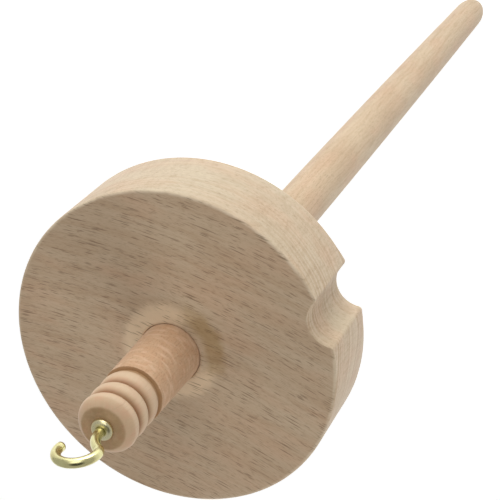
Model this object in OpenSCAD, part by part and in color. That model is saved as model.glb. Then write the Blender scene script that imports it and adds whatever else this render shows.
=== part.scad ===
/*
  Top-whorl drop spindle in turned beech, with a screw-in brass hook.

  +Z runs up the shaft towards the hook and +X points at the notch in the whorl's rim.
  The origin is on the shaft's axis where the yarn bears, under the bow of the hook,
  because the whole spindle hangs and turns from that point.
*/

/* [Whorl] */
// Diameter of the whorl
whorl_d = 76; // [60:1:90]
// Thickness of the whorl at its rim
whorl_h = 20.6; // [14:0.2:26]
// Rounding where the rim meets each face
rim_round = 1; // [0.4:0.2:2]
// Diameter of the low raised hub around the shaft
hub_d = 24; // [20:1:30]
// Height of the raised hub at the bore
hub_rise = 0.6; // [0.2:0.1:1.2]

/* [Rim notch] */
// Radius of the round notch that the yarn runs through
notch_r = 5.8; // [4:0.1:7]
// How far the notch cuts in from the rim
notch_depth = 4.3; // [3:0.1:6]

/* [Shaft] */
// Diameter of the shaft where it is fixed in the whorl
seat_d = 14; // [12:0.5:16]
// Height of the shaft's hook end above the whorl's top face
stub_h = 34; // [30:1:40]
// Diameter of the stub just below its groove
neck_d = 13.4; // [12.6:0.1:13.8]
// Diameter of the long shaft where a hand holds it
grip_d = 12.6; // [11:0.2:13]
// Distance from the whorl's top face down to the full grip
grip_z = 90; // [60:5:110]
// Diameter of the long shaft where its rounded tip starts
tip_d = 10.4; // [8:0.2:11]
// Length of the rounded tip
tip_h = 13.5; // [6:0.5:18]
// Length of the shaft below the whorl's top face
tail_h = 295.5; // [240:0.5:340]

/* [Beads] */
// Diameter over the turned beads at the hook end
bead_d = 13.2; // [12.8:0.1:13.6]
// Diameter at the bottom of the valleys between the beads
valley_d = 11.2; // [10.8:0.1:12.4]
// Length of each bead, from the whorl side to the hook side
bead_h = [4.6, 4.3, 4.5]; // [3:0.1:6]
// Diameter of the flat end of the shaft
end_d = 9.2; // [8:0.2:11.4]
// Width of the burnt groove below the beads
groove_w = 0.8; // [0.5:0.1:1.2]
// Diameter at the bottom of the burnt groove
groove_d = 11.8; // [11:0.1:12.2]

/* [Hook] */
// Diameter of the hook's wire
wire_d = 2.1; // [1.8:0.1:2.4]
// Radius of the bow, to the middle of the wire
bow_r = 4.4; // [4:0.1:5]
// Height of the straight stem above the shaft's end
stem_h = 1.4; // [1.3:0.1:3]
// Radius of the first bend, away from the axis
first_bend_r = 8.1; // [6:0.1:9]
// Radius of the second bend, back into the bow
second_bend_r = 2; // [1.6:0.1:3]
// Angle that the wire leans out between the two bends
lean = 48; // [40:1:52]
// How far the bow turns before the wire ends
bow_turn = 192; // [180:1:205]
// Which way the hook's belly points, turned from the notch
hook_turn = -13.9; // [-180:0.1:180]
// Diameter of the pressed collar that seats on the wood
collar_d = 4.8; // [4.4:0.1:6]
// Height of the collar at the wire
collar_h = 1.2; // [0.9:0.1:1.8]
// Length of the threaded shank in the shaft
shank_h = 12; // [9:0.5:15]

/* [Hidden] */
$fn = 96;

ARC_STEPS = 6;
BEAD_STEPS = 12;
TAPER_STEPS = 16;
TIP_STEPS = 14;
WIRE_FN = 32;
BEND_FN = 72;

wire_r = wire_d / 2;

// The wire's path in the hook's own plane, as [out from the axis, up from the whorl's top face]
stem_top = stub_h + stem_h;
first_centre = [first_bend_r, stem_top];
second_centre = first_centre + (first_bend_r + second_bend_r) * [-cos(lean), sin(lean)];
bow_centre = second_centre + [second_bend_r - bow_r, 0];
// How far a cut runs on past the face that it opens
overcut = 1;

// The balls stand just proud of the wire, so that they overlap its bends
ball_proud = 0.02;

// Where the yarn bears: on the shaft's axis, under the bow
bow_inside_r = bow_r - wire_r;
yarn_z = bow_centre[1] + sqrt(pow(bow_inside_r, 2) - pow(bow_centre[0], 2));

// Screw thread on the shank
thread_pitch = 0.9;
thread_depth = 0.25;
thread_crest = 0.2;
point_h = 1.6;
point_r = 0.2;
thread_turns = floor((shank_h - point_h) / thread_pitch);
shank_core_r = wire_r - thread_depth;

// The pressed collar is a thin cap, hollow underneath, with a short upright edge
collar_wall = 0.35;
collar_edge = 0.3;
collar_dome = collar_h - collar_edge;

// Powers in the shaft's outlines: 1 is a straight taper, or a bead shaped like a half sine wave
swell_power = 2;
taper_power = 1.7;
bead_power = 0.8;
// Below 1, a bead's crest lies nearer to the whorl than to the hook
bead_lean = 0.8;

// Points along an ellipse about a centre, from one angle to another
function arc(centre, half_r, half_z, from, to, steps) =
    [for (i = [0:steps])
        let (a = from + (to - from) * i / steps)
        centre + [half_r * cos(a), half_z * sin(a)]];

// Radius of the shaft below the whorl: it swells into its seat, then narrows to the tip
function swell_r(z) = let (t = (z + grip_z) / (grip_z - whorl_h))
    grip_d / 2 + (seat_d - grip_d) / 2 * pow(t, swell_power);
function taper_r(z) = let (t = max(0, (-grip_z - z) / (tail_h - tip_h - grip_z)))
    grip_d / 2 - (grip_d - tip_d) / 2 * pow(t, taper_power);

// Points over one bead, from just above its lower valley to its upper one
function bead_points(z, h, low_r, high_r) =
    [for (i = [1:BEAD_STEPS])
        let (t = i / BEAD_STEPS, valley = low_r + (high_r - low_r) * t)
        [valley + (bead_d / 2 - valley) * pow(sin(180 * pow(t, bead_lean)), bead_power), z + h * t]];

beads_z = stub_h - bead_h[0] - bead_h[1] - bead_h[2];

// Everything is drawn from the whorl's top face and placed by the yarn's bearing point
module placed() {
    translate([0, 0, -yarn_z]) children();
}

module whorl_profile() {
    rim = whorl_d / 2;
    polygon(concat(
        [[seat_d / 2, -whorl_h]],
        arc([rim - rim_round, rim_round - whorl_h], rim_round, rim_round, -90, 0, ARC_STEPS),
        arc([rim - rim_round, -rim_round], rim_round, rim_round, 0, 90, ARC_STEPS),
        [[hub_d / 2, 0], [seat_d / 2, hub_rise]]
    ));
}

module whorl() {
    color("burlywood")
    placed()
    difference() {
        rotate_extrude() whorl_profile();
        translate([whorl_d / 2 - notch_depth + notch_r, 0, -whorl_h - overcut])
            cylinder(r = notch_r, h = whorl_h + 2 * overcut);
    }
}

module shaft_profile() {
    swell_step = (grip_z - whorl_h) / TAPER_STEPS;
    taper_step = (tail_h - tip_h - grip_z) / TAPER_STEPS;
    polygon(concat(
        arc([0, tip_h - tail_h], tip_d / 2, tip_h, -90, 0, TIP_STEPS),
        [for (i = [1:TAPER_STEPS]) let (z = tip_h - tail_h + i * taper_step) [taper_r(z), z]],
        [for (i = [1:TAPER_STEPS]) let (z = i * swell_step - grip_z) [swell_r(z), z]],
        [[seat_d / 2, hub_rise], [neck_d / 2, beads_z - groove_w]],
        [[groove_d / 2, beads_z - groove_w], [groove_d / 2, beads_z]],
        bead_points(beads_z, bead_h[0], groove_d / 2, valley_d / 2),
        bead_points(beads_z + bead_h[0], bead_h[1], valley_d / 2, valley_d / 2),
        bead_points(stub_h - bead_h[2], bead_h[2], valley_d / 2, end_d / 2),
        [[0, stub_h]]
    ));
}

module shaft() {
    color("wheat")
    placed()
    difference() {
        rotate_extrude() shaft_profile();
        // Hole that the hook's thread cuts into
        translate([0, 0, stub_h - shank_h]) cylinder(r = wire_r, h = shank_h + overcut);
    }
}

// The threaded shank and the straight stem, from the point up, with each turn as a ring
module stem_profile() {
    thread_top = point_h + thread_turns * thread_pitch;
    polygon(concat(
        [[0, 0], [point_r, 0], [shank_core_r, point_h]],
        [for (i = [0:thread_turns - 1])
            let (crest = point_h + (i + 0.5) * thread_pitch)
            each [
                [wire_r, crest - thread_crest / 2],
                [wire_r, crest + thread_crest / 2],
                [shank_core_r, crest + thread_pitch / 2]
            ]],
        [[wire_r, thread_top + thread_depth], [wire_r, shank_h + stem_h], [0, shank_h + stem_h]]
    ));
}

// A bend of the wire about a centre in the hook's plane
module wire_bend(centre, bend_r, from, sweep) {
    translate([centre[0], 0, centre[1]])
    rotate([90, 0, 0])
    rotate_extrude(angle = sweep, start = from, $fn = BEND_FN)
    translate([bend_r, 0])
    circle(r = wire_r, $fn = WIRE_FN);
}

// A ball that joins two bends, or rounds the wire's end
module wire_ball(centre) {
    translate([centre[0], 0, centre[1]])
    sphere(r = wire_r + ball_proud, $fn = WIRE_FN);
}

module screw_hook() {
    bends_meet = first_centre + first_bend_r * [-cos(lean), sin(lean)];
    wire_end = bow_centre + bow_r * [cos(bow_turn), sin(bow_turn)];
    color("goldenrod")
    placed()
    rotate([0, 0, hook_turn]) {
        translate([0, 0, stub_h - shank_h]) rotate_extrude($fn = WIRE_FN) stem_profile();
        wire_bend(first_centre, first_bend_r, 180 - lean, lean);
        wire_bend(second_centre, second_bend_r, -lean, lean);
        wire_bend(bow_centre, bow_r, 0, bow_turn);
        wire_ball(bends_meet);
        wire_ball(wire_end);
    }
}

module hook_collar() {
    reach = collar_d / 2 - wire_r;
    color("gold")
    placed()
    translate([0, 0, stub_h])
    rotate_extrude()
    polygon(concat(
        [[wire_r + reach - collar_wall, 0], [wire_r + reach, 0]],
        arc([wire_r, collar_edge], reach, collar_dome, 0, 90, ARC_STEPS),
        arc([wire_r, collar_edge], reach - collar_wall, collar_dome - collar_wall, 90, 0, ARC_STEPS)
    ));
}

whorl();
shaft();
screw_hook();
hook_collar();
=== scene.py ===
import math

import bpy
from mathutils import Euler, Matrix, Vector


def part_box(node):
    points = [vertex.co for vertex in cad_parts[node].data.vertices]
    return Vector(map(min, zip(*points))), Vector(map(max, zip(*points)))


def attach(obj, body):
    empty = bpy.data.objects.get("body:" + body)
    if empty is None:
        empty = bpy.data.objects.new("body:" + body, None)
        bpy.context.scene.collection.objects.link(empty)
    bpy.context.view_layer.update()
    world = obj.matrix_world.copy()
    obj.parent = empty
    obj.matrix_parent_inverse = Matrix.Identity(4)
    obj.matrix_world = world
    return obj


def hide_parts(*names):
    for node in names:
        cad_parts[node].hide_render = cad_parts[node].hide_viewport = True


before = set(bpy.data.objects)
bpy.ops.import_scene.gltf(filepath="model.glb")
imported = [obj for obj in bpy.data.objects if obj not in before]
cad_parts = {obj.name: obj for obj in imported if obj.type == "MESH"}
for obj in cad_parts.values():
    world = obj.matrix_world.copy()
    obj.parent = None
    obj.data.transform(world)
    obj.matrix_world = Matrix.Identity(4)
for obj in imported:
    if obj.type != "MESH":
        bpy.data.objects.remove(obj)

# The drop spindle's looks. Lengths are in millimetres until a mesh is made, but the lamps and
# the camera are placed in metres. +Z runs up the shaft to the hook, +X points at the rim's
# notch, and the origin is where the yarn bears, under the hook's bow.

MM = 0.001
TURN = 2 * math.pi
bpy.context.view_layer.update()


def box_mm(node):
    """A CAD node's lowest and highest corners, in millimetres."""
    low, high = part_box(node)
    return Vector(low) / MM, Vector(high) / MM


whorl_low, whorl_high = box_mm("whorl")
shaft_low, shaft_high = box_mm("shaft")
collar_low, collar_high = box_mm("hook_collar")

# Whorl
HUB_RISE = 0.6
HUB_R = 12.4
RIM_R = (whorl_high.y - whorl_low.y) / 2
TOP_Z = whorl_high.z - HUB_RISE
UNDER_Z = whorl_low.z
NOTCH_R = 5.8
NOTCH_DEPTH = 4.3
NOTCH_X = RIM_R - NOTCH_DEPTH + NOTCH_R
NOTCH_CORNER_R = 0.9
RIM_EDGE = 0.7
NOTCH_EDGE = 0.25

# Shaft
SEAT_R = (shaft_high.x - shaft_low.x) / 2
SEAM = 0.05
END_Z = shaft_high.z
TIP_Z = shaft_low.z
NECK_R = 6.7
GRIP_R = 6.3
GRIP_Z = TOP_Z - 90
TIP_R = 5.2
TIP_H = 13.5
BEAD_R = 6.58
VALLEY_R = 5.6
END_R = 4.6
BEAD_H = (4.6, 4.3, 4.5)
BEAD_POWER = 0.8
BEAD_LEAN = 0.8
GROOVE_H = 0.8
GROOVE_R = 5.95
BEADS_Z = END_Z - sum(BEAD_H)

# Hook and collar
WIRE_R = 1.05
BOW_R = 4.4
BOW_TURN = math.radians(192)
STEM_H = 1.4
LEAN = math.radians(48)
FIRST_BEND_R = 8.1
SECOND_BEND_R = 2.0
HOOK_TURN = math.radians(-13.9)
SHANK_H = 12.0
THREAD_PITCH = 0.9
THREAD_DEPTH = 0.25
THREAD_RUNOUT = 1.2
POINT_H = 1.8
POINT_R = 0.12
COLLAR_WALL = 0.35
COLLAR_EDGE = 0.3
COLLAR_DOME = 0.85
COLLAR_CLEARANCE = 0.06

# Which way the whorl's grain runs, how much it bows (per mm), and where the painted shade on its hub is
# darkest
GRAIN_TURN = math.radians(35)
GRAIN_BOW = 0.0026
HUB_TURN = math.radians(7)

# Growth rings: about how far apart they are, in mm, and how much they slant and wander
RING_PITCH = 1 / 0.9
RING_SLANT = 0.3
RING_WANDER = 4.0

# Ray flecks: the cell that holds one, along the grain, across it and deep, in mm; how much of
# the cell it fills; and how many cells hold one
RAY_FLECKS = (
    ((3.0, 0.29, 9.0), 0.5, 0.55),
    ((6.0, 0.36, 15.0), 0.48, 0.4),
    ((13.0, 0.52, 24.0), 0.45, 0.25),
)


# ---------------------------------------------------------------- meshes

def make_mesh(name, points, faces, sharp_angle=40):
    """A smooth-shaded object from points in millimetres, its sharp creases kept."""
    mesh = bpy.data.meshes.new(name)
    mesh.from_pydata([Vector(p) * MM for p in points], [], faces)
    mesh.validate()
    mesh.shade_smooth()
    mesh.set_sharp_from_angle(angle=math.radians(sharp_angle))
    thing = bpy.data.objects.new(name, mesh)
    bpy.context.scene.collection.objects.link(thing)
    return thing


def arc(centre, half_r, half_z, start, stop, steps):
    """Points (r, z) along part of an ellipse, its angles in degrees."""
    angles = [math.radians(start + (stop - start) * i / steps) for i in range(steps + 1)]
    return [(centre[0] + half_r * math.cos(a), centre[1] + half_z * math.sin(a)) for a in angles]


def lathe(name, profile, around, closed=False):
    """Turns a profile of (r, z) points about the axis; points on the axis become poles."""
    points, rings = [], []
    for r, z in profile:
        if r < 1e-6:
            rings.append([len(points)])
            points.append((0, 0, z))
            continue
        rings.append(list(range(len(points), len(points) + around)))
        angles = [TURN * i / around for i in range(around)]
        points += [(r * math.cos(a), r * math.sin(a), z) for a in angles]
    faces = []
    pairs = list(zip(rings, rings[1:]))
    if closed:
        pairs.append((rings[-1], rings[0]))
    for low, high in pairs:
        for i in range(around):
            j = (i + 1) % around
            quad = [low[i % len(low)], low[j % len(low)], high[j % len(high)], high[i % len(high)]]
            faces.append(list(dict.fromkeys(quad)))
    return make_mesh(name, points, faces)


def whorl_outline():
    """The rim seen from above, anticlockwise: (point, outward normal, edge rounding)."""
    notch = Vector((NOTCH_X, 0))
    corner_from_axis = RIM_R - NOTCH_CORNER_R
    corner_from_notch = NOTCH_R + NOTCH_CORNER_R
    squares = corner_from_axis ** 2 + NOTCH_X ** 2 - corner_from_notch ** 2
    mouth = math.acos(squares / (2 * corner_from_axis * NOTCH_X))
    corner = Vector((math.cos(mouth), math.sin(mouth))) * corner_from_axis
    to_notch = (notch - corner).normalized()
    rows = []
    rim_steps = 300
    for i in range(rim_steps + 1):
        a = mouth + (TURN - 2 * mouth) * i / rim_steps
        n = Vector((math.cos(a), math.sin(a)))
        near = min(i, rim_steps - i) / 4
        rows.append((n * RIM_R, n, NOTCH_EDGE + (RIM_EDGE - NOTCH_EDGE) * min(1, near)))
    start = math.atan2(corner.y, corner.x)
    stop = math.atan2(to_notch.y, to_notch.x)
    corner_steps = 5
    upper = []
    for i in range(1, corner_steps):
        a = start + (stop - start) * i / corner_steps
        n = Vector((math.cos(a), math.sin(a)))
        upper.append((corner + n * NOTCH_CORNER_R, n, NOTCH_EDGE))
    lower = [(Vector((p.x, -p.y)), Vector((n.x, -n.y)), e) for p, n, e in upper]
    rows += lower
    first = math.atan2(-to_notch.y, -to_notch.x)
    notch_steps = 44
    for i in range(notch_steps + 1):
        a = -first + (2 * first - TURN) * i / notch_steps
        d = Vector((math.cos(a), math.sin(a)))
        rows.append((notch + d * NOTCH_R, -d, NOTCH_EDGE))
    rows += upper[::-1]
    return rows


def hub_height(r):
    """Height of the low hub around the shaft above the whorl's flat face."""
    t = min(1, max(0, (HUB_R - r) / (HUB_R - SEAT_R - 0.4)))
    return HUB_RISE * (t ** 1.25)


def make_whorl():
    """The disc, as rings of points: over its top, down the bore, across the underside and up."""
    outline = whorl_outline()
    around = len(outline)
    edge_steps = 5
    points, rings = [], []

    def add_ring(row):
        rings.append(list(range(len(points), len(points) + around)))
        points.extend(row)

    def edge_ring(angle, z, side):
        add_ring([
            (p.x - n.x * e * (1 - math.cos(angle)), p.y - n.y * e * (1 - math.cos(angle)),
             z - side * e * (1 - math.sin(angle)))
            for p, n, e in outline])

    def circle_ring(r, z):
        add_ring([(r * p.x / p.length, r * p.y / p.length, z) for p, n, e in outline])

    def face_ring(share, z):
        """A ring on a flat face, some share of the way in from the rim's edge to the hub."""
        row = []
        for p, n, e in outline:
            q = p - n * e
            r = q.length + (HUB_R + 0.3 - q.length) * share
            row.append((r * q.x / q.length, r * q.y / q.length, z))
        add_ring(row)

    bore_r = SEAT_R + SEAM
    for i in range(edge_steps + 1):
        edge_ring(math.pi / 2 * i / edge_steps, TOP_Z, 1)
    for share in (0.08, 0.3, 0.6, 1):
        face_ring(share, TOP_Z)
    hub_steps = 16
    for i in range(hub_steps + 1):
        r = HUB_R + (bore_r + 0.35 - HUB_R) * i / hub_steps
        circle_ring(r, TOP_Z + hub_height(r))
    circle_ring(bore_r + 0.12, TOP_Z + HUB_RISE - 0.08)
    circle_ring(bore_r, TOP_Z + HUB_RISE - 0.3)
    circle_ring(bore_r, UNDER_Z + 0.4)
    circle_ring(bore_r + 0.3, UNDER_Z)
    for share in (1, 0.6, 0.3, 0.08):
        face_ring(share, UNDER_Z)
    for i in range(edge_steps, -1, -1):
        edge_ring(math.pi / 2 * i / edge_steps, UNDER_Z, -1)
    faces = []
    for low, high in zip(rings, rings[1:] + rings[:1]):
        for i in range(around):
            j = (i + 1) % around
            faces.append([low[i], low[j], high[j], high[i]])
    return make_mesh("whorl_disc", points, faces)


def bead(z, h, low_r, high_r, steps=26):
    """Points over one turned bead, from just above its lower valley to its upper one."""
    row = []
    for i in range(1, steps):
        t = i / steps
        valley = low_r + (high_r - low_r) * t
        bulge = math.sin(math.pi * t ** BEAD_LEAN) ** BEAD_POWER
        row.append((valley + (BEAD_R - valley) * bulge, z + h * t))
    row.append((high_r, z + h))
    return row


def shaft_radius(z):
    """Radius of the long shaft below the whorl."""
    if z > GRIP_Z:
        t = (z - GRIP_Z) / (UNDER_Z - GRIP_Z)
        return GRIP_R + (SEAT_R - GRIP_R) * t ** 2
    t = (GRIP_Z - z) / (GRIP_Z - TIP_Z - TIP_H)
    return GRIP_R - (GRIP_R - TIP_R) * t ** 1.7


def make_shaft():
    long_steps = 60
    tip_top = TIP_Z + TIP_H
    profile = arc((0, tip_top), TIP_R, TIP_H, -90, 0, 24)
    for i in range(1, long_steps + 1):
        z = tip_top + (UNDER_Z - tip_top) * i / long_steps
        profile.append((shaft_radius(z), z))
    profile += [(SEAT_R, TOP_Z + HUB_RISE), (NECK_R, BEADS_Z - GROOVE_H - 0.1)]
    profile += [(NECK_R - 0.12, BEADS_Z - GROOVE_H), (GROOVE_R, BEADS_Z - GROOVE_H + 0.1)]
    profile += [(GROOVE_R, BEADS_Z - 0.05)]
    profile += bead(BEADS_Z, BEAD_H[0], GROOVE_R, VALLEY_R)
    profile += bead(BEADS_Z + BEAD_H[0], BEAD_H[1], VALLEY_R, VALLEY_R)
    profile += bead(END_Z - BEAD_H[2], BEAD_H[2], VALLEY_R, END_R)
    profile += [(END_R - 0.12, END_Z), (WIRE_R, END_Z)]
    profile += [(WIRE_R, END_Z - SHANK_H), (0, END_Z - SHANK_H)]
    return lathe("turned_shaft", profile, 160)


def hook_path():
    """The wire's middle line in the hook's plane, from the screw's point to the bow's end."""
    row = []
    base = END_Z - SHANK_H
    stem_top = END_Z + STEM_H
    straight_steps = 210
    for i in range(straight_steps):
        row.append(Vector((0, base + (stem_top - base) * i / straight_steps)))
    bends = (
        (FIRST_BEND_R, math.pi, math.pi - LEAN, 30),
        (SECOND_BEND_R, -LEAN, 0, 14),
        (BOW_R, 0, BOW_TURN, 90),
    )
    meet = Vector((0, stem_top))
    for r, start, stop, steps in bends:
        centre = meet - Vector((math.cos(start), math.sin(start))) * r
        for i in range(steps):
            a = start + (stop - start) * i / steps
            row.append(centre + Vector((math.cos(a), math.sin(a))) * r)
        meet = centre + Vector((math.cos(stop), math.sin(stop))) * r
    row.append(meet)
    return row


def shank_radius(z, turn):
    """The threaded shank's radius at a height above its point; turn goes 0 to 1 around it."""
    phase = (z / THREAD_PITCH - turn) % 1
    crest = max(0, 1 - abs(phase - 0.5) / 0.42)
    fade = min(1, max(0, (SHANK_H - THREAD_RUNOUT / 2 - z) / THREAD_RUNOUT))
    core = WIRE_R - THREAD_DEPTH
    body = core + THREAD_DEPTH * (crest * fade + 1 - fade)
    return POINT_R + (body - POINT_R) * min(1, z / POINT_H) ** 0.8


def make_hook():
    """The wire as rings of points along its path, closed by a rounded end."""
    path = hook_path()
    around = 40
    base = path[0].y
    dome_steps = 9
    turn = Matrix.Rotation(HOOK_TURN, 3, "Z")
    points, rings = [], []

    def add_ring(centre, along, radius):
        across = Vector((along.y, 0, -along.x))
        side = Vector((0, 1, 0))
        rings.append(list(range(len(points), len(points) + around)))
        for i in range(around):
            a = TURN * i / around
            offset = across * math.cos(a) + side * math.sin(a)
            points.append(turn @ (Vector((centre.x, 0, centre.y)) + offset * radius(i / around)))

    for i, centre in enumerate(path):
        along = (path[min(i + 1, len(path) - 1)] - path[max(i - 1, 0)]).normalized()
        z = centre.y - base
        if z < SHANK_H and abs(centre.x) < 1e-6:
            add_ring(centre, along, lambda t, z=z: shank_radius(z, t))
        else:
            add_ring(centre, along, lambda t: WIRE_R)
    along = Vector((-math.sin(BOW_TURN), math.cos(BOW_TURN)))
    for i in range(1, dome_steps + 1):
        a = math.pi / 2 * i / (dome_steps + 0.7)
        add_ring(path[-1] + along * WIRE_R * 0.8 * math.sin(a), along,
                 lambda t, a=a: WIRE_R * math.cos(a) ** 0.7)
    faces = [rings[0][::-1], rings[-1]]
    for low, high in zip(rings, rings[1:]):
        for i in range(around):
            j = (i + 1) % around
            faces.append([low[i], low[j], high[j], high[i]])
    return make_mesh("brass_hook", points, faces, 60)


def make_collar():
    """A thin cap, hollow underneath, that dips a little where the wire comes through."""
    outer = (collar_high.x - collar_low.x) / 2
    low = collar_low.z
    wall = COLLAR_WALL
    hole = WIRE_R + COLLAR_CLEARANCE
    lip = low + COLLAR_EDGE + COLLAR_DOME - 0.09
    dome = (WIRE_R + 0.25, low + COLLAR_EDGE)
    reach = outer - dome[0]
    profile = [(outer - 0.08, low), (outer, low + 0.1)]
    profile += arc(dome, reach, COLLAR_DOME, 0, 90, 14)
    profile += [(hole, lip), (hole, lip - wall)]
    profile += arc(dome, reach - wall, COLLAR_DOME - wall, 90, 0, 10)
    profile += [(outer - wall, low)]
    return lathe("pressed_collar", profile, 96, closed=True)


# ---------------------------------------------------------------- materials

class Shader:
    """A node material, built one node at a time."""

    def __init__(self, name):
        self.material = bpy.data.materials.new(name)
        self.material.use_nodes = True
        self.tree = self.material.node_tree
        self.tree.nodes.clear()

    def node(self, kind, inputs=None, **settings):
        n = self.tree.nodes.new("ShaderNode" + kind)
        for key, value in settings.items():
            setattr(n, key, value)
        for key, value in (inputs or {}).items():
            if isinstance(value, bpy.types.NodeSocket):
                self.tree.links.new(value, n.inputs[key])
            else:
                n.inputs[key].default_value = value
        return n

    def math(self, operation, a, b=0.0, c=0.0):
        return self.node("Math", {0: a, 1: b, 2: c}, operation=operation).outputs[0]

    def scaled(self, vector, factors):
        return self.node("VectorMath", {0: vector, 1: factors}, operation="MULTIPLY").outputs[0]

    def noise(self, vector, scale=1.0, detail=3.0, rough=0.5):
        inputs = {"Vector": vector, "Scale": scale, "Detail": detail, "Roughness": rough}
        return self.node("TexNoise", inputs)

    def ramp(self, value, low, high, out_low=0.0, out_high=1.0):
        n = self.node("MapRange", {"Value": value}, interpolation_type="SMOOTHSTEP")
        ends = {"From Min": low, "From Max": high, "To Min": out_low, "To Max": out_high}
        for key, end in ends.items():
            n.inputs[key].default_value = end
        return n.outputs["Result"]

    def mix(self, share, a, b, blend="MIX"):
        n = self.node("Mix", data_type="RGBA", blend_type=blend)
        for key, value in ((0, share), (6, a), (7, b)):
            if isinstance(value, bpy.types.NodeSocket):
                self.tree.links.new(value, n.inputs[key])
            else:
                n.inputs[key].default_value = value
        return n.outputs[2]

    def finish(self, surface):
        out = self.node("OutputMaterial")
        self.tree.links.new(surface.outputs[0], out.inputs["Surface"])
        return self.material


def rgb(r, g, b):
    """A colour as it looks on a screen, from 0 to 255, made linear for the shader."""
    def linear(c):
        c /= 255
        return c / 12.92 if c < 0.04045 else ((c + 0.055) / 1.055) ** 2.4
    return (linear(r), linear(g), linear(b), 1)


def flecks(s, grain, cell, size, share):
    """Lens-shaped ray flecks lying along the grain; share is how many cells hold one."""
    cells = s.scaled(grain, tuple(1 / c for c in cell))
    v = s.node("TexVoronoi", {"Vector": cells, "Scale": 1.0, "Randomness": 1.0})
    chance = s.node("SeparateColor", {"Color": v.outputs["Color"]})
    reach = s.ramp(chance.outputs["Green"], 0, 1, size * 0.45, size)
    nearness = s.math("DIVIDE", v.outputs["Distance"], reach)
    body = s.ramp(nearness, 0.35, 1, 1, 0)
    depth = s.ramp(chance.outputs["Blue"], 0, 1, 0.45, 1)
    held = s.math("MULTIPLY", s.math("LESS_THAN", chance.outputs["Red"], share), depth)
    return s.math("MULTIPLY", body, held)


def from_axis(s, place):
    """Distance from the shaft's axis, in millimetres."""
    flat = s.scaled(place, (1 / MM, 1 / MM, 0))
    return s.node("VectorMath", {0: flat}, operation="LENGTH").outputs["Value"]


def height_at(s, place):
    """Height above the origin, in millimetres."""
    return s.math("DIVIDE", s.node("SeparateXYZ", {0: place}).outputs["Z"], MM)


def band(s, value, low, high, soft):
    """1 between two values, fading to 0 over a soft distance outside them."""
    return s.math("MULTIPLY", s.ramp(value, low - soft, low), s.ramp(value, high, high + soft, 1, 0))


def hub_light_and_shade(s, place, colour):
    """The hub: paler on two sides with painted light, and a dark crescent between them that is painted
    shade from the stub's shadow, partly darker end grain pared across the grain.
    """
    r = from_axis(s, place)
    z = height_at(s, place)
    ragged = s.noise(place, scale=330.0, detail=4.0, rough=0.6).outputs["Fac"]
    ragged = s.math("SUBTRACT", ragged, 0.5)
    top = s.ramp(z, TOP_Z - 0.6, TOP_Z - 0.1)
    uneven = s.math("MULTIPLY_ADD", ragged, 2.5, r)
    hub = s.math("MULTIPLY", band(s, uneven, SEAT_R - 1, HUB_R - 2.4, 2.6), top)
    edge = s.math("MULTIPLY", band(s, uneven, HUB_R - 2.6, HUB_R - 0.9, 2.4), top)
    turned = s.node("Mapping", {"Vector": place, "Rotation": (0, 0, -HUB_TURN)}, vector_type="POINT")
    turned = s.node("SeparateXYZ", {0: turned.outputs[0]})
    along = s.math("MAXIMUM", turned.outputs["X"], 0)
    sideways = s.math("ABSOLUTE", turned.outputs["Y"])
    lean = s.math("MULTIPLY_ADD", ragged, 0.9, s.math("ARCTAN2", sideways, along))
    # Painted light on the hub's paler sides; painted shade from the stub's shadow, partly end grain, in
    # its dark crescent
    hub_light = s.math("MULTIPLY", hub, s.ramp(lean, 0.4, 1.1, 0, 0.8))
    hub_shade = s.math("MULTIPLY", edge, s.ramp(lean, 0.3, 1.1, 0.7, 0))
    colour = s.mix(hub_light, colour, rgb(230, 204, 170))
    return s.mix(hub_shade, colour, rgb(216, 202, 164), "MULTIPLY")


def rim_edge_highlight(s, place, colour):
    """The rim's two edges, a little paler in patches: a painted highlight along them."""
    middle = (TOP_Z + UNDER_Z) / 2
    from_middle = s.math("ABSOLUTE", s.math("SUBTRACT", height_at(s, place), middle))
    near_face = s.ramp(from_middle, TOP_Z - middle - 0.8, TOP_Z - middle - 0.2)
    near_rim = s.ramp(from_axis(s, place), RIM_R - 0.9, RIM_R - 0.3)
    patchy = s.ramp(s.noise(place, scale=420.0, detail=3.0).outputs["Fac"], 0.35, 0.65, 0.2, 0.6)
    # Painted highlight along the rim's edges
    edge_highlight = s.math("MULTIPLY", s.math("MULTIPLY", near_face, near_rim), patchy)
    return s.mix(edge_highlight, colour, rgb(224, 206, 178))


def stub_tint(s, place, colour):
    """The stub, warmer than the rest where fingers twirl it, and its rough, open pores."""
    stub = band(s, height_at(s, place), TOP_Z - 2, BEADS_Z - GROOVE_H, 0.3)
    mottle = s.noise(place, scale=620.0, detail=5.0, rough=0.7).outputs["Fac"]
    warm = s.math("MULTIPLY", stub, s.ramp(mottle, 0.3, 0.65, 0.55, 1))
    colour = s.mix(warm, colour, rgb(202, 162, 127))
    specks = s.noise(s.scaled(place, (1, 1, 0.45)), scale=2600.0, detail=3.0, rough=0.7)
    specks = s.math("MULTIPLY", stub, s.ramp(specks.outputs["Fac"], 0.50, 0.68, 0, 0.32))
    colour = s.mix(specks, colour, rgb(188, 150, 116), "MULTIPLY")
    smears = s.noise(s.scaled(place, (1, 1, 3)), scale=300.0, detail=3.0).outputs["Fac"]
    smears = s.math("MULTIPLY", stub, s.ramp(smears, 0.46, 0.7, 0, 0.5))
    return s.mix(smears, colour, rgb(226, 196, 166))


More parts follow.
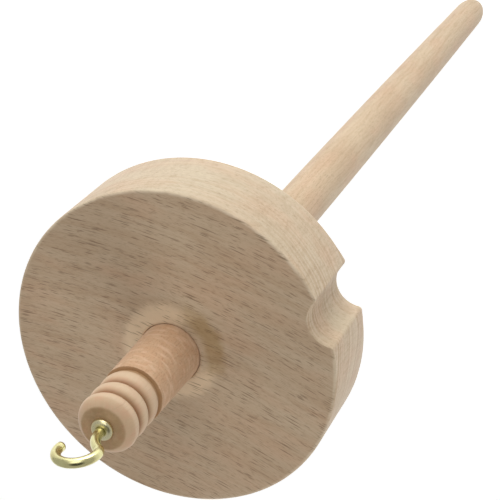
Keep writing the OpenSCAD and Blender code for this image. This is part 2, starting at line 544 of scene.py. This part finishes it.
def bead_tint(s, place, colour):
    """The beads' blotches, painted shade in their valleys and a painted highlight on their crests, the
    burnt groove, and the end face, darker for its end grain and with painted shade.
    """
    r = from_axis(s, place)
    z = height_at(s, place)
    mottle = s.noise(place, scale=700.0, detail=4.0, rough=0.65).outputs["Fac"]
    on_beads = s.ramp(z, BEADS_Z - 0.1, BEADS_Z + 0.4)
    colour = s.mix(s.math("MULTIPLY", on_beads, 0.8), colour, rgb(204, 174, 140))
    blotch = s.noise(place, scale=420.0, detail=5.0, rough=0.7).outputs["Fac"]
    blotch = s.math("MULTIPLY", on_beads, s.ramp(blotch, 0.42, 0.66, 0, 0.5))
    colour = s.mix(blotch, colour, rgb(206, 162, 132))
    ragged = s.math("MULTIPLY_ADD", s.math("SUBTRACT", mottle, 0.5), 0.5, z)
    burnt = band(s, ragged, BEADS_Z - GROOVE_H, BEADS_Z - 0.15, 0.2)
    colour = s.mix(s.math("MULTIPLY", burnt, 0.75), colour, rgb(160, 120, 76))
    # Painted shade in the valleys between the beads
    below_last = s.ramp(z, END_Z - 3.4, END_Z - 2.6, 1, 0)
    low = s.ramp(r, VALLEY_R + 0.2, BEAD_R - 0.15, 0.85, 0)
    low = s.math("MULTIPLY", s.math("MULTIPLY", on_beads, below_last), low)
    colour = s.mix(low, colour, rgb(176, 146, 114), "MULTIPLY")
    # Painted highlight along the beads' crests
    crest = s.math("MULTIPLY", on_beads, s.ramp(r, BEAD_R - 0.3, BEAD_R, 0, 0.35))
    colour = s.mix(crest, colour, rgb(226, 204, 176))
    # The end face darker: partly end grain, partly painted shade
    end = s.ramp(z, END_Z - 0.3, END_Z - 0.02)
    end = s.math("MULTIPLY", end, s.ramp(mottle, 0.35, 0.7, 0.75, 0.5))
    return s.mix(end, colour, rgb(200, 188, 160), "MULTIPLY")


def beech(name, turn, tones, fleck_strength, grain_bow, tints):
    """Beech cut from one block, whose grain is carried onto X and its rays onto Z by turn.

    tones are the colours of faces across the rays, along them, and of end grain. The grain
    bows sideways by grain_bow times its length squared. Each of tints recolours the wood.
    """
    s = Shader(name)
    coords = s.node("TexCoord")
    place = coords.outputs["Object"]
    block = s.node("Mapping", {
        "Vector": place,
        "Rotation": turn,
        "Scale": (1 / MM, 1 / MM, 1 / MM),
    }, vector_type="POINT").outputs[0]
    facing = {"Vector": coords.outputs["Normal"], "Rotation": turn}
    facing = s.node("Mapping", facing, vector_type="POINT").outputs[0]
    facing = s.node("SeparateXYZ", {0: facing})

    # The fibres wander a little, and take everything along with them
    sway = s.noise(s.scaled(block, (1 / 42, 1 / 24, 1 / 24)), detail=1.0)
    sway = s.node("VectorMath", {0: sway.outputs["Color"], 1: (0.5, 0.5, 0.5)}, operation="SUBTRACT")
    sway = s.scaled(sway.outputs[0], (0, 2.5, 2.5))
    grain = s.node("VectorMath", {0: block, 1: sway}, operation="ADD").outputs[0]
    along_grain = s.node("SeparateXYZ", {0: block}).outputs["X"]
    bow = s.math("MULTIPLY", s.math("MULTIPLY", along_grain, along_grain), grain_bow)
    bow = s.node("CombineXYZ", {"X": 0.0, "Y": bow, "Z": 0.0}).outputs[0]
    grain = s.node("VectorMath", {0: grain, 1: bow}, operation="ADD").outputs[0]

    end_face = s.math("POWER", s.math("ABSOLUTE", facing.outputs["X"]), 1.4)
    ray_face = s.math("POWER", s.math("ABSOLUTE", facing.outputs["Z"]), 2.0)
    across, along, end = tones
    colour = s.mix(ray_face, along, across)
    colour = s.mix(end_face, colour, end)

    # Broad tone changes, a warm blush, growth rings, streaks and fine pores
    broad = s.noise(s.scaled(block, (1 / 26, 1 / 13, 1 / 13)), detail=2.0).outputs["Fac"]
    colour = s.mix(s.ramp(broad, 0.35, 0.68, 0, 0.16), colour, rgb(212, 178, 150), "MULTIPLY")
    blush = s.noise(s.scaled(block, (1 / 17, 1 / 6, 1 / 6)), detail=2.0).outputs["Fac"]
    colour = s.mix(s.ramp(blush, 0.42, 0.70, 0, 0.22), colour, rgb(212, 168, 136))
    ring_place = s.node("SeparateXYZ", {0: grain})
    year = s.math("MULTIPLY_ADD", ring_place.outputs["Y"], RING_SLANT, ring_place.outputs["Z"])
    year = s.math("MULTIPLY_ADD", broad, RING_WANDER, year)
    ring = {"W": year, "Scale": 1 / RING_PITCH, "Detail": 2.0}
    ring = s.node("TexNoise", ring, noise_dimensions="1D").outputs["Fac"]
    ring = s.math("MULTIPLY", s.ramp(ring, 0.4, 0.65), s.ramp(end_face, 0.1, 0.9, 0.15, 0.5))
    colour = s.mix(ring, colour, rgb(212, 186, 158), "MULTIPLY")
    streak = s.noise(s.scaled(grain, (1 / 13, 1 / 0.5, 1 / 3)), detail=4.0, rough=0.6)
    streak = streak.outputs["Fac"]
    colour = s.mix(s.ramp(streak, 0.42, 0.72, 0, 0.20), colour, rgb(196, 168, 138), "MULTIPLY")
    pores = s.noise(s.scaled(grain, (1 / 1.3, 1 / 0.2, 1 / 0.3)), detail=2.0, rough=0.6)
    pores = pores.outputs["Fac"]
    colour = s.mix(s.ramp(pores, 0.48, 0.8, 0, 0.42), colour, rgb(168, 140, 112), "MULTIPLY")
    for tint in tints:
        colour = tint(s, place, colour)

    # Rays: fine dashes everywhere, longer ones here and there, seen edge on as thin lines
    rays = 0.0
    for cell, size, share in RAY_FLECKS:
        rays = s.math("MAXIMUM", rays, flecks(s, grain, cell, size, share))
    seen = s.math("MAXIMUM", s.ramp(ray_face, 0, 1, 0.08, 1), s.math("MULTIPLY", end_face, 0.2))
    rays = s.math("MULTIPLY", rays, seen)
    colour = s.mix(s.math("MULTIPLY", rays, fleck_strength), colour, rgb(104, 78, 52))

    rough = s.ramp(streak, 0.3, 0.8, 0.52, 0.66)
    height = s.math("MULTIPLY_ADD", rays, -0.6, s.math("MULTIPLY", pores, -0.5))
    bump = s.node("Bump", {"Strength": 0.35, "Distance": 0.00012, "Height": height})
    skin = s.node("BsdfPrincipled", {
        "Base Color": colour,
        "Roughness": rough,
        "Normal": bump.outputs[0],
        "Specular IOR Level": 0.35,
        "Sheen Weight": 0.12,
        "Sheen Roughness": 0.4,
    })
    return s.finish(skin)


def brass(name, tone, roughness):
    """Bright brass plate with faint draw lines and tarnish."""
    s = Shader(name)
    place = s.node("TexCoord").outputs["Object"]
    cloud = s.noise(place, scale=350.0, detail=3.0).outputs["Fac"]
    colour = s.mix(s.ramp(cloud, 0.35, 0.75, 0, 0.45), tone, rgb(206, 190, 130))
    scratch = s.noise(s.scaled(place, (1800, 1800, 5200)), detail=4.0, rough=0.6).outputs["Fac"]
    rough = s.ramp(scratch, 0.3, 0.75, roughness, roughness + 0.06)
    bump = s.node("Bump", {"Strength": 0.05, "Distance": 0.00002, "Height": scratch})
    skin = s.node("BsdfPrincipled", {
        "Base Color": colour,
        "Metallic": 1.0,
        "Roughness": rough,
        "Normal": bump.outputs[0],
    })
    return s.finish(skin)


def floor_material():
    s = Shader("pale_floor")
    place = s.node("TexCoord").outputs["Object"]
    cloud = s.noise(place, scale=3.0, detail=2.0).outputs["Fac"]
    colour = s.mix(s.ramp(cloud, 0.3, 0.7), rgb(246, 246, 245), rgb(250, 250, 250))
    skin = s.node("BsdfPrincipled", {
        "Base Color": colour,
        "Roughness": 0.9,
        "Emission Color": (1, 1, 1, 1),
        "Emission Strength": 0.42,
    })
    return s.finish(skin)


# ---------------------------------------------------------------- pieces

def settle(piece, node, material):
    """Rides a finished piece on the spindle, in place of its plain CAD node."""
    piece.data.materials.append(material)
    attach(piece, "root")
    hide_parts(node)


WHORL_TONES = (rgb(200, 178, 150), rgb(201, 186, 159), rgb(213, 194, 166))
SHAFT_TONES = (rgb(204, 182, 151), rgb(206, 184, 153), rgb(196, 174, 144))

WHORL_CUT = Euler((0, 0, GRAIN_TURN))
SHAFT_CUT = Euler((0, math.pi / 2, 0))
WHORL_FLECKS = 0.6
SHAFT_FLECKS = 0.16

whorl_beech = beech("whorl_beech", WHORL_CUT, WHORL_TONES, WHORL_FLECKS, GRAIN_BOW, (hub_light_and_shade, rim_edge_highlight))
shaft_beech = beech("shaft_beech", SHAFT_CUT, SHAFT_TONES, SHAFT_FLECKS, 0, (stub_tint, bead_tint))
settle(make_whorl(), "whorl", whorl_beech)
settle(make_shaft(), "shaft", shaft_beech)
settle(make_hook(), "screw_hook", brass("hook_plate", rgb(230, 224, 168), 0.2))
settle(make_collar(), "hook_collar", brass("collar_plate", rgb(238, 230, 188), 0.27))


# ---------------------------------------------------------------- stage

def make_floor():
    """A pale floor just below the hanging spindle's tip."""
    half = 3000.0
    gap = 12
    z = TIP_Z - gap
    corners = [(-half, -half, z), (half, -half, z), (half, half, z), (-half, half, z)]
    floor = make_mesh("floor", corners, [[0, 1, 2, 3]])
    floor.data.materials.append(floor_material())


def add_lamp(name, place, size, power, mirrored=True):
    """A soft square lamp, in metres, pointing at the whorl. Gloss shows only a mirrored one."""
    lamp = bpy.data.lights.new(name, "AREA")
    lamp.shape = "SQUARE"
    lamp.size = size
    lamp.energy = power
    thing = bpy.data.objects.new(name, lamp)
    thing.location = place
    ahead = Vector((0, 0, TOP_Z * MM)) - Vector(place)
    thing.rotation_euler = ahead.to_track_quat("-Z", "Y").to_euler()
    thing.visible_camera = False
    thing.visible_glossy = mirrored
    bpy.context.scene.collection.objects.link(thing)


def add_camera():
    """Looks down at the whorl's hook side, with the shaft running away to the upper right."""
    place = Vector((0.16488, 0.10619, 0.21272))
    ahead = Vector((-0.45058, -0.28370, -0.84646)).normalized()
    upright = Vector((0.17709, 0.90091, -0.39622))
    right = ahead.cross(upright).normalized()
    up = right.cross(ahead)
    lens = bpy.data.cameras.new("camera")
    lens.lens = 106.13
    lens.sensor_width = 36
    lens.clip_start = 0.01
    thing = bpy.data.objects.new("camera", lens)
    turn = Matrix((right, up, -ahead)).transposed().to_4x4()
    thing.matrix_world = Matrix.Translation(place) @ turn
    bpy.context.scene.collection.objects.link(thing)
    bpy.context.scene.camera = thing


def add_world():
    """A pale studio with a dark patch overhead, to one side of the camera, for the brass to mirror.

    The patch fades in between two cosines of the angle from its middle.
    """
    patch_middle = Vector((0.30, -0.15, 0.94)).normalized()
    patch_edge = 0.8
    patch_dark = 0.95
    world = bpy.data.worlds.new("studio")
    world.use_nodes = True
    tree = world.node_tree
    backdrop = tree.nodes["Background"]
    backdrop.inputs["Strength"].default_value = 0.44
    way = tree.nodes.new("ShaderNodeTexCoord")
    toward = tree.nodes.new("ShaderNodeVectorMath")
    toward.operation = "DOT_PRODUCT"
    toward.inputs[1].default_value = patch_middle
    shade = tree.nodes.new("ShaderNodeMapRange")
    shade.interpolation_type = "SMOOTHSTEP"
    shade.inputs["From Min"].default_value = patch_edge
    shade.inputs["From Max"].default_value = patch_dark
    shade.inputs["To Min"].default_value = 1
    shade.inputs["To Max"].default_value = 0.12
    tree.links.new(way.outputs["Generated"], toward.inputs[0])
    tree.links.new(toward.outputs["Value"], shade.inputs["Value"])
    tree.links.new(shade.outputs["Result"], backdrop.inputs["Color"])
    bpy.context.scene.world = world
    bpy.context.scene.view_settings.view_transform = "Standard"


make_floor()
add_camera()
add_world()
# Sizes in metres and powers in watts
add_lamp("top_back", (0.05, 0.7, -0.25), 0.5, 0.85)
add_lamp("top_right", (0.3, 0.65, -0.25), 0.5, 2.45)
add_lamp("top", (0.15, 0.7, 0.1), 0.5, 0.7)
add_lamp("front", (0.22, 0.45, 0.45), 0.45, 0.75)
add_lamp("left", (-0.7, 0.1, 0.35), 0.5, 0.8, mirrored=False)
add_lamp("low_front", (0.15, -0.6, 0.30), 0.5, 1.7, mirrored=False)
